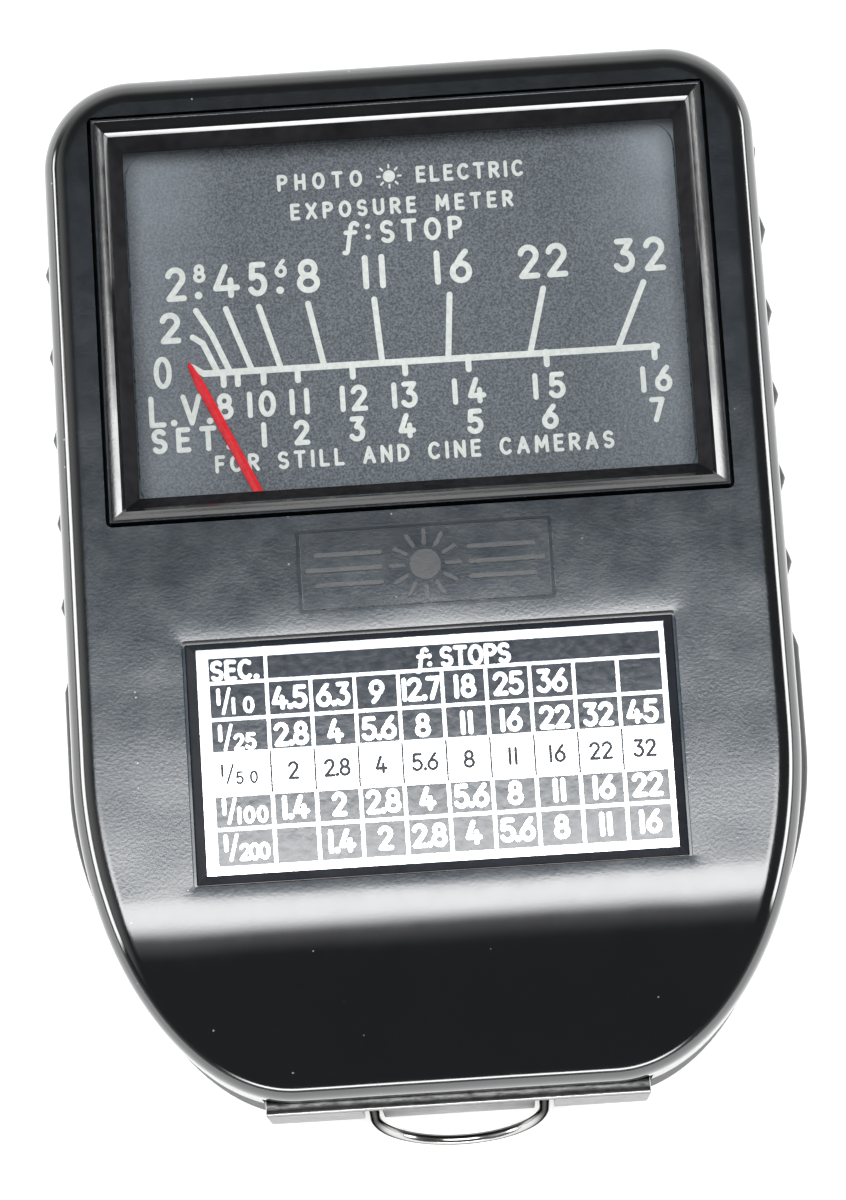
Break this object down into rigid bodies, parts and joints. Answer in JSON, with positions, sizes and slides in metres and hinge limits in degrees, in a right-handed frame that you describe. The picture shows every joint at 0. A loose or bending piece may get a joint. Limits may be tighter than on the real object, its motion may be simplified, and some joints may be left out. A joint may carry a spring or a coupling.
{
  "type": "selenium light meter",
  "caption": "Pocket selenium light meter: black moulded case with side grips, windowed scale with a red needle, exposure table plate and a wire bail.",
  "frame": {"origin": "middle of the flat rear face of the case, on the plane the meter rests on", "axes": "+Z out of the front face, +Y towards the window end, +X to the right seen from the front"},
  "size_m": [0.0578, 0.0822, 0.0242],
  "materials": {
    "phenolic": "polished black moulded phenolic, finely grained on the front",
    "glass": "clear",
    "dial_enamel": "satin dark blue-grey with off-white print",
    "etched_aluminium": "bright with black enamel fields",
    "red_paint": "satin",
    "brass": "satin",
    "spring_bronze": "satin phosphor bronze",
    "steel": "machined",
    "soft_iron": "satin",
    "magnet_alloy": "ground",
    "copper_winding": "varnished copper wire",
    "nickel_plate": "polished nickel",
    "selenium": "dark grey with a thin metallic film",
    "fibre_board": "vulcanised fibre",
    "black_sheet_metal": "matt black",
    "red_sleeve": "soft sleeve",
    "black_sleeve": "soft sleeve"
  },
  "bodies": {
    "case": {"front_shell": "phenolic", "rear_shell": "phenolic", "window_bezel": "phenolic", "window_glass": "glass", "cell_lens": "glass", "scale_plate": "dial_enamel", "table_plate": "etched_aluminium", "core_bar": "brass", "movement_frame": "brass", "front_bridge": "brass", "rear_bridge": "brass", "zero_lever": "brass", "hairspring_front": "spring_bronze", "hairspring_rear": "spring_bronze", "cell_contact": "spring_bronze", "cell_spring": "spring_bronze", "case_screw_left": "steel", "case_screw_right": "steel", "scale_screw_left": "steel", "scale_screw_right": "steel", "pointer_stop_zero": "steel", "pointer_stop_full": "steel", "movement_screw_left": "steel", "movement_screw_right": "steel", "movement_screw_bottom": "steel", "jewel_screw_front": "steel", "jewel_screw_rear": "steel", "cell_screw_left": "steel", "cell_screw_right": "steel", "iron_core": "soft_iron", "pole_piece_left": "soft_iron", "pole_piece_right": "soft_iron", "magnet": "magnet_alloy", "calibration_spool": "copper_winding", "strap_clip": "nickel_plate", "photocell": "selenium", "cell_cover": "fibre_board", "lead_wire_rear": "red_sleeve", "lead_wire_front": "black_sleeve"},
    "needle": {"pointer": "red_paint", "balance_arms": "brass", "moving_coil": "copper_winding", "coil_staff_front": "steel", "coil_staff_rear": "steel"},
    "bail": {"strap_bail": "nickel_plate"},
    "index": {"index_dial": "phenolic", "index_pinion": "brass", "index_clip": "steel"},
    "mask": {"speed_mask": "black_sheet_metal"},
    "zero_screw": {"zero_screw": "brass"}
  },
  "joints": [
    {"name": "needle_turn", "type": "hinge", "parent": "case", "child": "needle", "pos_m": [0, -0.0196, 0.014], "axis": [0, 0, -1], "range_deg": [-1.5, 54]},
    {"name": "bail_swing", "type": "hinge", "parent": "case", "child": "bail", "pos_m": [0, -0.0392, 0.011], "axis": [-1, 0, 0], "range_deg": [0, 140]},
    {"name": "index_turn", "type": "hinge", "parent": "case", "child": "index", "pos_m": [0, -0.014, 0.002], "axis": [0, 0, 1], "range_deg": [0, 171.8]},
    {"name": "mask_slide", "type": "slide", "parent": "case", "child": "mask", "axis": [0, 1, 0], "range_m": [0, 0.018]},
    {"name": "zero_screw_turn", "type": "hinge", "parent": "case", "child": "zero_screw", "pos_m": [0.0185, -0.0196, 0.003], "axis": [0, 0, 1], "range_deg": [-40, 40]}
  ],
  "couplings": [
    {"joint": "mask_slide", "follows": "index_turn", "m_per_rad": 0.006}
  ]
}
